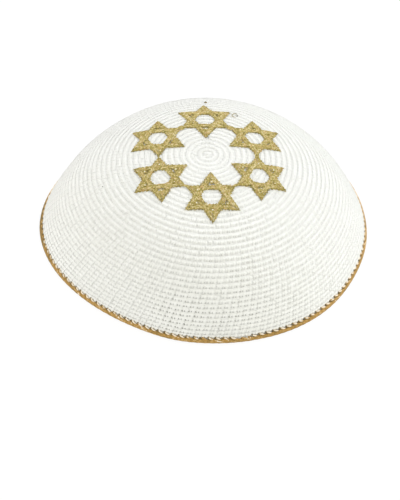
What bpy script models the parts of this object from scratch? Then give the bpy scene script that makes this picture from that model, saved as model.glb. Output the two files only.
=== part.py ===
"""A crocheted skullcap: a white knitted crown, six gold embroidered stars in a ring and an overcast rim.

Metres, +Z up. The cap rests on its rim on the plane z = 0, with its front, the steeper side, towards -Y. The origin is
the middle of the rim's outline, on that plane.
"""

import math

import bpy
import numpy as np

# The crown. Its outer face is worked out from these; the wall is measured inwards from it.
CROWN_RADIUS = 0.0768        # plan radius of the outer face at the rim's edge
CROWN_DROP = 0.0509          # height of the crown's centre above the rim's edge
CROWN_WALL = 0.0022          # a round of single crochet in thick cotton
LEAN_FORWARD = 0.0106        # how far the crown's centre has slumped towards the front
LEAN_LEFT = 0.0015           # and towards -X

# How steeply the crown falls away, from its centre (share 0) to its rim (share 1). It is flat where the stars are.
SLOPES = (
    # share of the way, slope in degrees
    (0.0, 0.0),
    (0.2, 7.0),
    (0.4, 23.0),
    (0.6, 44.0),
    (0.8, 62.0),
    (1.0, 71.0),
)

# The soft rim isn't a true circle: it bulges and flattens in waves, which die away towards the crown's centre.
RIM_WAVES = (
    # lobes round the rim, height as a share of CROWN_RADIUS, direction of the first lobe in degrees
    (2, 0.020, 23.0),
    (3, 0.018, 72.0),
    (4, 0.011, 4.0),
)
RIM_BULGES = (
    # direction in degrees, spread in degrees, height as a share of CROWN_RADIUS
    (-47.0, 20.0, 0.015),
    (-99.0, 11.0, 0.007),
)

# The embroidered stars. Distances are measured along the crown's outer face.
STAR_COUNT = 6
STAR_RING_RADIUS = 0.0254    # from the crown's centre to a star's centre
STAR_RING_TURN = 6.0         # degrees; how far the ring is turned on the crown
STAR_TIP_RADIUS = 0.0144     # from a star's centre to its points
STAR_BAND = 0.0027           # width of the band round the eye
STAR_PINHOLE = 0.0011        # the small gap inside each point, where the bands part
STAR_THICKNESS = 0.0006      # how thick the thread lies
POINTS_TO_NEIGHBOURS = (2, 4)    # of a star's points, counted anticlockwise from the one that leads outwards

# The overcast edging grips the rim like a channel.
EDGING_LEG = 0.0005          # thickness of the thread on each face of the crown
EDGING_FOOT = 0.0012         # and under the crown's edge, where the cap rests on it
EDGING_REACH = 0.0007        # how far it reaches up over the crown's edge
EDGING_CHAMFER = 0.0004      # its rounded lower corners

CLEARANCE = 0.0003           # left between pieces that lie against each other

# How finely the curved faces are divided.
ROUND_STEPS = 96
OUTER_STEPS = 24
INNER_STEPS = 15
PROFILE_STEPS = 200
BAND_STEPS = 2

WHITE_COTTON = (0.86, 0.86, 0.82, 1.0)
GOLD_THREAD = (0.50, 0.40, 0.15, 1.0)
CARAMEL_THREAD = (0.43, 0.29, 0.12, 1.0)


RIM_RISE = EDGING_FOOT + CLEARANCE      # height of the crown's edge, which is cut level


def profile():
    """Share of the way, plan radius and height of the crown's outer face before it leans, and its length in metres."""
    share = np.linspace(0.0, 1.0, PROFILE_STEPS + 1)
    slope = np.radians(np.interp(share, *np.array(SLOPES).T))
    along, down = (
        np.concatenate([[0.0], np.cumsum((step[1:] + step[:-1]) / 2)])
        for step in (np.cos(slope), np.sin(slope))
    )
    radius = CROWN_RADIUS * along / along[-1]
    height = RIM_RISE + CROWN_DROP * (1.0 - down / down[-1])
    length = float(np.hypot(np.diff(radius), np.diff(height)).sum())
    return share, radius, height, length


SHARE, RADIUS, HEIGHT, CROWN_LENGTH = profile()


def rim_wave(turn):
    """How far the rim stands out or in, in the direction turn (radians), as a share of its radius."""
    waves = sum(share * np.cos(lobes * (turn - math.radians(first))) for lobes, share, first in RIM_WAVES)
    for middle, spread, share in RIM_BULGES:
        away = (turn - math.radians(middle) + math.pi) % (2 * math.pi) - math.pi
        waves = waves + share * np.exp(-((away / math.radians(spread)) ** 2))
    return waves


def leaning_face(share, turn):
    """A point on the crown's outer face, before the cap is centred on the origin."""
    out = np.interp(share, SHARE, RADIUS) * (1.0 + share**2 * rim_wave(turn))
    slump = 1.0 - share**2
    return np.array(
        [
            out * math.cos(turn) - slump * LEAN_LEFT,
            out * math.sin(turn) - slump * LEAN_FORWARD,
            float(np.interp(share, SHARE, HEIGHT)),
        ]
    )


def rim_middle():
    """The middle of the rim's outline, which becomes the origin."""
    rim = np.array([leaning_face(1.0, math.radians(degree)) for degree in range(360)])
    return (rim.min(axis=0) + rim.max(axis=0)) / 2 * (1.0, 1.0, 0.0)


MIDDLE = rim_middle()


def face(share, turn):
    """A point on the crown's outer face, share of the way from its centre to its rim, in the direction turn."""
    return leaning_face(share, turn) - MIDDLE


def face_axes(share, turn):
    """At a point of the outer face: the unit vector down the crown, and the unit normal pointing out."""
    near = 0.5 / PROFILE_STEPS
    share = max(share, near)
    low, high = max(share - near, near), min(share + near, 1.0)
    down = face(high, turn) - face(low, turn)
    around = face(share, turn + near) - face(share, turn - near)
    normal = np.cross(down, around)
    return down / np.linalg.norm(down), normal / np.linalg.norm(normal)


def above(share, turn, lift):
    """A point lift metres out from the outer face, along its normal."""
    return face(share, turn) + lift * face_axes(share, turn)[1]


def material(name, colour, roughness, metallic=0.0):
    made = bpy.data.materials.new(name)
    made.use_nodes = True
    shader = made.node_tree.nodes["Principled BSDF"]
    shader.inputs["Base Color"].default_value = colour
    shader.inputs["Roughness"].default_value = roughness
    shader.inputs["Metallic"].default_value = metallic
    return made


def solid(name, points, faces, finish, parent):
    """One named object from points and faces, shaded smooth except over sharp corners."""
    mesh = bpy.data.meshes.new(name)
    mesh.from_pydata([tuple(point) for point in points], [], faces)
    mesh.shade_smooth()
    mesh.set_sharp_from_angle(angle=math.radians(40))
    mesh.materials.append(finish)
    made = bpy.data.objects.new(name, mesh)
    made.parent = parent
    bpy.context.collection.objects.link(made)
    return made


def turns():
    return [2 * math.pi * step / ROUND_STEPS for step in range(ROUND_STEPS)]


def rim_wall(turn, height, depth):
    """A point of the rim at that height, depth metres in from the crown's outer face."""
    down, normal = face_axes(1.0, turn)
    start = face(1.0, turn) - depth * normal
    return start + down * (height - start[2]) / down[2]


def skin(steps, depth):
    """Points of a face of the crown, ring by ring outwards after its centre, depth metres in from the outer face."""
    points = [above(0.0, 0.0, -depth)]
    for step in range(1, steps):
        points += [above(step / steps, turn, -depth) for turn in turns()]
    return points + [rim_wall(turn, RIM_RISE, depth) for turn in turns()]


def skin_faces(steps, first, outward):
    """Faces over the points that skin() gives, which start at index first."""
    faces = []
    for step in range(steps):
        here = first + 1 + step * ROUND_STEPS
        for i in range(ROUND_STEPS):
            j = (i + 1) % ROUND_STEPS
            if step == 0:
                quad = (first, here + i, here + j)
            else:
                above_row = here - ROUND_STEPS
                quad = (above_row + i, here + i, here + j, above_row + j)
            faces.append(quad if outward else quad[::-1])
    return faces


def crown(finish, parent):
    """The knitted wall: an outer and an inner face, joined round the rim."""
    outer, inner = skin(OUTER_STEPS, 0.0), skin(INNER_STEPS, CROWN_WALL)
    first_inner = len(outer)
    faces = skin_faces(OUTER_STEPS, 0, True) + skin_faces(INNER_STEPS, first_inner, False)
    rim_out, rim_in = first_inner - ROUND_STEPS, first_inner + len(inner) - ROUND_STEPS
    for i in range(ROUND_STEPS):
        j = (i + 1) % ROUND_STEPS
        faces.append((rim_out + i, rim_in + i, rim_in + j, rim_out + j))
    return solid("crown", outer + inner, faces, finish, parent)


def star_point(reach):
    """Half of one point of a star, flat, as quads of (forwards, sideways). Its tip lies at reach along +forwards.

    The star is two crossed triangles, drawn with a band round a six-sided eye. The bands part in a pinhole
    inside each point.
    """
    side = 1 / math.sqrt(3)
    middle = STAR_TIP_RADIUS / 2
    eye = middle - STAR_BAND
    tip = (reach, 0.0)
    notch = (middle, middle * side)
    pinhole_top = (middle + STAR_PINHOLE, 0.0)
    pinhole_corner = (middle, STAR_PINHOLE * side)
    pinhole_foot = (middle, 0.0)
    eye_corner = (eye, eye * side)
    eye_beside = (eye, STAR_PINHOLE * side)
    eye_middle = (eye, 0.0)
    return (
        # four corners, and how many parts the quad is cut into along its first side
        ((tip, notch, pinhole_corner, pinhole_top), BAND_STEPS),
        ((pinhole_corner, notch, eye_corner, eye_beside), 1),
        ((pinhole_foot, pinhole_corner, eye_beside, eye_middle), 1),
    )


def cut(corners, parts):
    """A quad cut into parts along its first side and the side across from it."""
    a, b, c, d = corners
    for part in range(parts):
        ends = (part / parts, (part + 1) / parts)
        near = [tuple(p + (q - p) * at for p, q in zip(a, b)) for at in ends]
        far = [tuple(p + (q - p) * at for p, q in zip(d, c)) for at in ends]
        yield near[0], near[1], far[1], far[0]


def star_flat():
    """A star's flat points, relative to its centre with +X away from the crown's, and its anticlockwise quads."""
    halfway = STAR_RING_RADIUS * math.sin(math.pi / STAR_COUNT)
    points, quads, known = [], [], {}

    def index(point):
        key = (round(point[0], 7), round(point[1], 7))
        if key not in known:
            known[key] = len(points)
            points.append(point)
        return known[key]

    for number in range(6):
        # two of the points lead to the neighbouring stars and meet theirs halfway
        reach = halfway - CLEARANCE / 2 if number in POINTS_TO_NEIGHBOURS else STAR_TIP_RADIUS
        angle = math.radians(60 * number)
        across, along = math.cos(angle), math.sin(angle)
        for hand in (1, -1):
            for corners, parts in star_point(reach):
                for quad in cut(corners, parts):
                    turned = [
                        index((u * across - v * hand * along, u * along + v * hand * across))
                        for u, v in quad
                    ]
                    quads.append(tuple(turned[::hand]))
    return points, quads


def star(number, finish, parent):
    """One star, laid on the crown: its flat points are wrapped onto the outer face and given a thickness."""
    points, quads = star_flat()
    place = math.pi / 2 + math.radians(STAR_RING_TURN) + 2 * math.pi * number / STAR_COUNT
    low, high = [], []
    for out, beside in points:
        distance = math.hypot(STAR_RING_RADIUS + out, beside)
        turn = place + math.atan2(beside, STAR_RING_RADIUS + out)
        low.append(above(distance / CROWN_LENGTH, turn, CLEARANCE))
        high.append(above(distance / CROWN_LENGTH, turn, CLEARANCE + STAR_THICKNESS))
    count = len(points)
    faces = [tuple(i + count for i in quad) for quad in quads]
    faces += [quad[::-1] for quad in quads]
    edges = {(quad[i], quad[(i + 1) % 4]) for quad in quads for i in range(4)}
    faces += [(a, b, b + count, a + count) for a, b in sorted(edges) if (b, a) not in edges]
    return solid(f"star_{number + 1}", low + high, faces, finish, parent)


def edging_section(turn):
    """The edging's cut face in one direction, walked round from the inside of its outer leg's top."""
    outside, inside = -CLEARANCE, CROWN_WALL + CLEARANCE
    top = RIM_RISE + EDGING_REACH
    corners = (
        # height, depth in from the crown's outer face
        (top, outside),
        (top, outside - EDGING_LEG),
        (EDGING_CHAMFER, outside - EDGING_LEG),
        (0.0, outside - EDGING_LEG + EDGING_CHAMFER),
        (0.0, inside + EDGING_LEG - EDGING_CHAMFER),
        (EDGING_CHAMFER, inside + EDGING_LEG),
        (top, inside + EDGING_LEG),
        (top, inside),
        (EDGING_FOOT, inside),
        (EDGING_FOOT, outside),
    )
    return [rim_wall(turn, height, depth) for height, depth in corners]


def edging(finish, parent):
    """The overcast rim: a ring with a channel that the crown's edge sits in, and a flat foot all round."""
    sections = [edging_section(turn) for turn in turns()]
    around = len(sections[0])
    points = [point for section in sections for point in section]
    faces = []
    for step in range(ROUND_STEPS):
        here, after = step * around, (step + 1) % ROUND_STEPS * around
        for i in range(around):
            j = (i + 1) % around
            faces.append((here + i, here + j, after + j, after + i))
    return solid("edging", points, faces, finish, parent)


def clear_scene():
    for old in list(bpy.data.objects):
        bpy.data.objects.remove(old, do_unlink=True)


def build():
    clear_scene()
    cap = bpy.data.objects.new("skullcap", None)
    bpy.context.collection.objects.link(cap)
    crown(material("white cotton crochet", WHITE_COTTON, 0.9), cap)
    gold = material("gold metallic thread", GOLD_THREAD, 0.45, 0.4)
    for number in range(STAR_COUNT):
        star(number, gold, cap)
    edging(material("caramel overcast thread", CARAMEL_THREAD, 0.7), cap)


build()
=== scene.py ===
"""The looks of a crocheted skullcap: white cotton crochet, gold embroidered stars and an overcast rim.

Metres, +Z up, in the frame's own place. The sections follow the cap as it is made, from the centre outwards.
"""

import math

import bpy
import numpy as np
from mathutils import Matrix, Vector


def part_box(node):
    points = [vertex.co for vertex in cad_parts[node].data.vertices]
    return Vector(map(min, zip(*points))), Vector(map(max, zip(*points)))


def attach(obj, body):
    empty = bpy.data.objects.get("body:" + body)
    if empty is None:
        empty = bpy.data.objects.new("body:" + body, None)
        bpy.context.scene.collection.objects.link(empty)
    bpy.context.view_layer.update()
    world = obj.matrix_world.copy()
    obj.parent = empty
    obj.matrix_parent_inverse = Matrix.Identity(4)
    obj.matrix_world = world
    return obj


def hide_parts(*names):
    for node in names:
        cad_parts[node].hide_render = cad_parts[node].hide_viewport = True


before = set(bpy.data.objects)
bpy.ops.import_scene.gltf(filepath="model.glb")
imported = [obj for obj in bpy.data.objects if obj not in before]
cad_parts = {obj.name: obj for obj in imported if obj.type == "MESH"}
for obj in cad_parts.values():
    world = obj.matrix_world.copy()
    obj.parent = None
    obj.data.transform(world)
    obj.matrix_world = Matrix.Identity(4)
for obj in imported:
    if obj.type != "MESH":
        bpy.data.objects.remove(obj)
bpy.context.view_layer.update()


# The crown's form
# The cap is one soft dome, worked in rounds from its centre. It has slumped a little towards its front, and
# its rim isn't a true circle. The frame gives its size and place, and these tables its form.
SLOPES = (
    # share of the way from the centre to the rim, slope in degrees
    (0.0, 0.0),
    (0.2, 7.0),
    (0.4, 23.0),
    (0.6, 44.0),
    (0.8, 62.0),
    (1.0, 71.0),
)
RIM_WAVES = (
    # lobes round the rim, height as a share of the rim's radius, direction of the first lobe in degrees
    (2, 0.020, 23.0),
    (3, 0.018, 72.0),
    (4, 0.011, 4.0),
)
RIM_BULGES = (
    # direction in degrees, spread in degrees, height as a share of the rim's radius
    (-47.0, 20.0, 0.015),
    (-99.0, 11.0, 0.007),
)
LEAN_FORWARD = 0.0106
LEAN_LEFT = 0.0015

crown_low, crown_high = (np.array(corner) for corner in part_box("crown"))


def running(step):
    """The running sum of a step, as a share of its total."""
    total = np.concatenate([[0.0], np.cumsum((step[1:] + step[:-1]) / 2)])
    return total / total[-1]


def rim_wave(turn):
    """How far the rim stands out or in, in the direction turn, as a share of its radius."""
    waves = sum(share * np.cos(lobes * (turn - math.radians(first))) for lobes, share, first in RIM_WAVES)
    for middle, spread, share in RIM_BULGES:
        away = (turn - math.radians(middle) + math.pi) % (2 * math.pi) - math.pi
        waves = waves + share * np.exp(-((away / math.radians(spread)) ** 2))
    return waves


share_steps = np.linspace(0.0, 1.0, 201)
slope_steps = np.radians(np.interp(share_steps, *np.array(SLOPES).T))
out_steps = running(np.cos(slope_steps))
drop_steps = running(np.sin(slope_steps))

whole_turn = np.radians(np.arange(0.0, 360.0, 3.75))
outline = (1.0 + rim_wave(whole_turn)) * np.array([np.cos(whole_turn), np.sin(whole_turn)])
rim_radius = (crown_high[0] - crown_low[0]) / np.ptp(outline[0])
crown_drop = crown_high[2] - crown_low[2]
rim_middle = (outline.max(axis=1) + outline.min(axis=1)) / 2 * rim_radius - (crown_high + crown_low)[:2] / 2
crown_length = np.hypot(np.diff(out_steps) * rim_radius, np.diff(drop_steps) * crown_drop).sum()


def face(share, turn):
    """Points of the outer face, share of the way from its centre to its rim, in the direction turn."""
    share, turn = np.broadcast_arrays(np.asarray(share, float), np.asarray(turn, float))
    out = rim_radius * np.interp(share, share_steps, out_steps) * (1.0 + share**2 * rim_wave(turn))
    slump = 1.0 - share**2
    return np.stack(
        [
            out * np.cos(turn) - slump * LEAN_LEFT - rim_middle[0],
            out * np.sin(turn) - slump * LEAN_FORWARD - rim_middle[1],
            crown_high[2] - crown_drop * np.interp(share, share_steps, drop_steps),
        ],
        axis=-1,
    )


def unit(vector):
    return vector / np.linalg.norm(vector, axis=-1, keepdims=True)


def face_axes(share, turn):
    """At points of the outer face: unit vectors down the crown, round it anticlockwise, and out from it."""
    near = 0.0025
    share = np.clip(share, near, 1.0)
    down = unit(face(np.minimum(share + near, 1.0), turn) - face(share - near, turn))
    around = unit(face(share, turn + near) - face(share, turn - near))
    return down, around, unit(np.cross(down, around))


def above(share, turn, lift):
    """Points lift metres out from the outer face, along its normal."""
    return face(share, turn) + np.asarray(lift, float)[..., None] * face_axes(share, turn)[2]


# The rounds of crochet
# Thirty-eight rounds of single crochet in thick white cotton. Each round has more stitches than the last
# until the crown is wide enough, and the same number from there to the rim.
ROUNDS = 38
STITCHES = (
    # share of the way to the rim, stitches in the round
    (0.0, 0.0),
    (0.4, 118.0),
    (0.48, 135.0),
    (0.56, 146.0),
    (1.0, 146.0),
)
COLUMN_DRIFT = 0.2           # of a stitch, by which each round falls behind the one inside it
ROUND_WANDER = (
    # lobes, how far the rounds stray as a share of the way, direction of the first lobe in degrees
    (1, 0.0035, 200.0),
    (3, 0.0025, 50.0),
    (7, 0.0010, 10.0),
)


def wander(share, turn):
    """How far a round strays from its even place, because the yarn is never pulled quite alike."""
    lobes = sum(
        height * np.cos(count * (turn - math.radians(first))) for count, height, first in ROUND_WANDER
    )
    return lobes * share * (1.0 - share**8)


def round_cells(number):
    """Share, turn, width and height of each stitch of one round, counted from the crown's centre."""
    count = int(round(np.interp(number / ROUNDS, *np.array(STITCHES).T)))
    turn = 2 * math.pi * (np.arange(count) + 0.5 - COLUMN_DRIFT * number) / count
    share = (number - 0.5) / ROUNDS
    share = share + wander(share, turn)
    near = 0.005
    width = np.linalg.norm(face(share, turn + near) - face(share, turn - near), axis=-1) / (2 * near)
    height = np.linalg.norm(face(share + near / 2, turn) - face(share - near / 2, turn), axis=-1) / near
    return share, turn, width * 2 * math.pi / count, height / ROUNDS


# The yarn
# Two-ply cotton, spun without a gloss: matt, fluffy and a warm white. The plies show as fine slanted ridges.
# They and the fuzz are drawn a little coarser than real, so that they show at all.
FUZZ_PER_METRE = 1300.0      # lumps of fuzz about 0.8 mm across
FIBRES_PER_METRE = 3500.0    # and single fibres about 0.3 mm
YARN_TWIST = 0.0024          # length of one turn of the plies
YARN_GRAIN = 0.00006         # depth of the plies, the fluff and the lumps


def linear(colour):
    """An sRGB hex colour as linear red, green, blue and alpha."""
    parts = [int(colour[i : i + 2], 16) / 255 for i in (1, 3, 5)]
    return tuple(p / 12.92 if p <= 0.04045 else ((p + 0.055) / 1.055) ** 2.4 for p in parts) + (1.0,)


def add(tree, kind, inputs=None, **settings):
    """One node with its settings, and the values or sockets that feed it."""
    made = tree.nodes.new(kind)
    for name, value in settings.items():
        setattr(made, name, value)
    for name, value in (inputs or {}).items():
        if isinstance(value, bpy.types.NodeSocket):
            tree.links.new(value, made.inputs[name])
        else:
            made.inputs[name].default_value = value
    return made


def new_material(name):
    """An empty material, its node tree, its shader and the surface's own coordinates."""
    made = bpy.data.materials.new(name)
    made.use_nodes = True
    tree = made.node_tree
    return made, tree, tree.nodes["Principled BSDF"], add(tree, "ShaderNodeTexCoord").outputs["Object"]


def twist_height(tree, plies, pitch):
    """The height of a twisted yarn's plies, from where a point lies round and along its strand."""
    round_strand = add(tree, "ShaderNodeAttribute", attribute_name="ring").outputs["Vector"]
    ring = add(tree, "ShaderNodeSeparateXYZ", {0: round_strand})
    angle = add(tree, "ShaderNodeMath", {0: ring.outputs["Y"], 1: ring.outputs["X"]}, operation="ARCTAN2")
    run = add(tree, "ShaderNodeAttribute", attribute_name="run").outputs["Fac"]
    along = add(tree, "ShaderNodeMath", {0: run, 1: 2 * math.pi * plies / pitch}, operation="MULTIPLY")
    twist = {0: angle.outputs[0], 1: float(plies), 2: along.outputs[0]}
    phase = add(tree, "ShaderNodeMath", twist, operation="MULTIPLY_ADD")
    return add(tree, "ShaderNodeMath", {0: phase.outputs[0]}, operation="SINE").outputs[0]


def cotton_yarn():
    """White cotton crochet yarn."""
    made, tree, shader, place = new_material("white cotton crochet yarn")
    tint = add(tree, "ShaderNodeAttribute", attribute_name="tint").outputs["Fac"]
    lumpy = {"Vector": place, "Scale": FUZZ_PER_METRE, "Detail": 3.0, "Roughness": 0.7}
    fuzz = add(tree, "ShaderNodeTexNoise", lumpy)
    worn = add(tree, "ShaderNodeMath", {0: tint, 1: 0.25, 2: fuzz.outputs["Fac"]}, operation="MULTIPLY_ADD")
    light = add(tree, "ShaderNodeMapRange", {0: worn.outputs[0], 1: 0.35, 2: 0.9})
    whites = {0: light.outputs[0], 6: linear("#F3F3EC"), 7: linear("#FAFAF5")}
    shade = add(tree, "ShaderNodeMix", whites, data_type="RGBA")
    tree.links.new(shade.outputs[2], shader.inputs["Base Color"])
    shader.inputs["Roughness"].default_value = 0.88
    shader.inputs["Sheen Weight"].default_value = 0.25
    shader.inputs["Sheen Roughness"].default_value = 0.6
    shader.inputs["Specular IOR Level"].default_value = 0.25
    fibres = add(tree, "ShaderNodeTexNoise", {"Vector": place, "Scale": FIBRES_PER_METRE, "Detail": 3.0})
    twisted = {"Height": twist_height(tree, 2, YARN_TWIST), "Distance": YARN_GRAIN}
    plies = add(tree, "ShaderNodeBump", twisted)
    downy = {"Height": fibres.outputs["Fac"], "Distance": YARN_GRAIN, "Normal": plies.outputs[0]}
    fluff = add(tree, "ShaderNodeBump", downy)
    lumpy = {"Height": fuzz.outputs["Fac"], "Distance": YARN_GRAIN, "Normal": fluff.outputs[0]}
    lumps = add(tree, "ShaderNodeBump", lumpy)
    tree.links.new(lumps.outputs[0], shader.inputs["Normal"])
    return made


white_cotton = cotton_yarn()


# The stitches
# Each single crochet shows a slanted loop of yarn across its foot and two legs above it, a thin one and a
# broad one, with deep pits between. They are set out round by round and sewn on by a node tree, in bands.
CELL_WIDTH = 3.36            # mm, the usual width of a stitch, for which the strands below are drawn
CELL_HEIGHT = 2.64           # mm, the usual height of a round
LOOP = (
    # across, up and out in mm, half width and half thickness in mm
    (-2.05, -1.20, -0.12, 0.44, 0.34),
    (-0.85, -1.10, 0.06, 0.48, 0.34),
    (0.85, -0.96, 0.08, 0.48, 0.34),
    (2.05, -0.84, -0.06, 0.44, 0.34),
)
LEFT_LEG = (
    (-0.16, 1.50, 0.12, 0.95, 0.30),
    (-0.32, 0.78, 0.16, 0.97, 0.32),
    (-0.46, 0.16, 0.04, 0.46, 0.32),
    (-0.44, -0.70, -0.24, 0.34, 0.28),
)
RIGHT_LEG = (
    (1.36, 1.50, 0.14, 1.25, 0.32),
    (1.22, 0.78, 0.18, 1.26, 0.34),
    (1.00, 0.16, 0.12, 0.78, 0.34),
    (1.00, -0.75, 0.00, 0.62, 0.32),
)
STITCH_KINDS = (
    # how much the legs are thinned, in mm: tight stitches first, then looser ones, and last a snagged one
    -0.08,
    -0.04,
    0.00,
    0.10,
    0.42,
)
THINNING = (1.0, 0.5)        # of that, off the half width and off the half thickness
STRAND_SIDES = 6
USUAL_KIND = 1.0             # in that list, which looser crochet and chance move on
LOOSE_KINDS = 1.6
KIND_CHANCE = 0.22
LOOSE_PLACES = (
    # share of the way to the rim, direction in degrees, spread in mm, how loose the crochet is there
    (0.87, -98.0, 11.0, 1.15),
    (0.84, -76.0, 11.0, 0.60),
    (0.92, -58.0, 10.0, 0.35),
    (0.62, -85.0, 26.0, 0.20),
)
SNAG = (0.9133, -99.5)       # share of the way to the rim, and direction in degrees, of the snagged stitch
SNAG_REACH = 0.0014
SIZE_CHANCE = (0.96, 1.06)   # the smallest and the largest stitch, for its cell
LEANING = 0.05               # radians; how far a stitch leans either way
PULLED = 0.00009             # how far a stitch is pulled out of its place along the round
PULLED_DOWN = 0.7            # of that, down the crown
RELIEF = 0.00031             # metres for each mm of depth above, since the cap is worn flat
TOP_RELIEF = 0.25            # how much of that relief is left on the top
TOP_SHARE = 0.15             # share of the way to the rim where the top ends
TOP_BLEND = 0.3              # and over which it blends into the sides
WORN_FLAT = (
    # direction in degrees, how much of that relief is left near the rim
    (-250.0, 0.08),
    (-200.0, 0.10),
    (-180.0, 0.35),
    (-160.0, 0.85),
    (-140.0, 0.95),
    (-115.0, 0.90),
    (-95.0, 0.85),
    (-75.0, 0.90),
    (-55.0, 0.85),
    (-35.0, 0.50),
    (-18.0, 0.36),
    (0.0, 0.22),
    (60.0, 0.16),
    (90.0, 0.08),
)
BANDS = (
    # first and last round of each band
    (1, 18),
    (19, 25),
    (26, 32),
    (33, 38),
)


def strand(path, sides, thinner=0.0):
    """A closed tube along a path in mm: points, faces, and where each point lies round and along it."""
    path = np.array(path)
    centre, half = path[:, :3], path[:, 3:] - thinner * np.array(THINNING)
    heading = unit(np.gradient(centre, axis=0))
    beside = unit(np.cross([0.0, 0.0, 1.0], heading))
    outward = np.cross(heading, beside)
    angle = 2 * np.pi * np.arange(sides) / sides
    ring = np.stack([np.cos(angle), np.sin(angle)], axis=-1)
    points = (
        centre[:, None]
        + beside[:, None] * (ring[:, 0] * half[:, :1])[..., None]
        + outward[:, None] * (ring[:, 1] * half[:, 1:])[..., None]
    ).reshape(-1, 3)
    faces = [
        (k * sides + i, k * sides + (i + 1) % sides, (k + 1) * sides + (i + 1) % sides, (k + 1) * sides + i)
        for k in range(len(path) - 1)
        for i in range(sides)
    ]
    faces += [tuple(range(sides))[::-1], tuple(range(len(points) - sides, len(points)))]
    along = np.concatenate([[0.0], np.cumsum(np.linalg.norm(np.diff(centre, axis=0), axis=-1))])
    return points, faces, np.tile(ring, (len(path), 1)), np.repeat(along, sides)


def new_mesh(name, points, faces=(), edges=(), **attributes):
    """An object with a mesh, and a float or vector attribute on its points for each one named."""
    mesh = bpy.data.meshes.new(name)
    mesh.from_pydata([tuple(p) for p in points], list(edges), list(faces))
    mesh.shade_smooth()
    for key, values in attributes.items():
        values = np.asarray(values)
        kind = "INT" if values.dtype.kind == "i" else "FLOAT" if values.ndim == 1 else "FLOAT_VECTOR"
        field = "vector" if values.ndim == 2 else "value"
        mesh.attributes.new(key, kind, "POINT").data.foreach_set(field, values.ravel())
    made = bpy.data.objects.new(name, mesh)
    bpy.context.scene.collection.objects.link(made)
    return made


def one_stitch(number, thinner):
    """A stitch in a cell one wide and one high, with its depth in millimetres."""
    strands = ((LOOP, thinner / 2), (LEFT_LEG, thinner), (RIGHT_LEG, thinner))
    parts = [strand(path, STRAND_SIDES, less) for path, less in strands]
    starts = np.cumsum([0] + [len(part[0]) for part in parts])
    points = np.concatenate([part[0] for part in parts]) / (CELL_WIDTH, CELL_HEIGHT, 1.0)
    faces = [tuple(i + start for i in quad) for part, start in zip(parts, starts) for quad in part[1]]
    ring = np.concatenate([np.pad(part[2], ((0, 0), (0, 1))) for part in parts])
    run = np.concatenate([part[3] for part in parts]) / 1000
    return new_mesh(f"stitch_kind_{number}", points, faces, ring=ring, run=run, across=points[:, 0])


def looseness(share, turn):
    """How loosely the crochet is worked at points of the crown, from 0 to about 1."""
    there = face(share, turn)
    loose = np.zeros(there.shape[:-1])
    for place_share, place_turn, spread, height in LOOSE_PLACES:
        away = np.linalg.norm(there - face(place_share, math.radians(place_turn)), axis=-1)
        loose += height * np.exp(-((1000 * away / spread) ** 2))
    return loose


def relief_left(share, turn):
    """How far the stitches stand out, in metres for each mm of depth: less at the sides and the back."""
    near_rim = np.interp(np.degrees(turn), *np.array(WORN_FLAT).T, period=360.0)
    blend = np.clip((share - TOP_SHARE) / TOP_BLEND, 0.0, 1.0)
    return RELIEF * (TOP_RELIEF + (near_rim - TOP_RELIEF) * blend)


def kinds_of_stitch(share, turn, chance):
    """Which kind of stitch stands at each point of the crown: looser where the crochet is loose."""
    kind = USUAL_KIND + LOOSE_KINDS * looseness(share, turn) + chance.normal(0.0, KIND_CHANCE, share.shape)
    kind = np.clip(np.round(kind), 0, len(STITCH_KINDS) - 2).astype(int)
    snag = face(SNAG[0], math.radians(SNAG[1]))
    away = np.linalg.norm(face(share, turn) - snag, axis=-1)
    kind[away < SNAG_REACH] = len(STITCH_KINDS) - 1
    return kind


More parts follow.
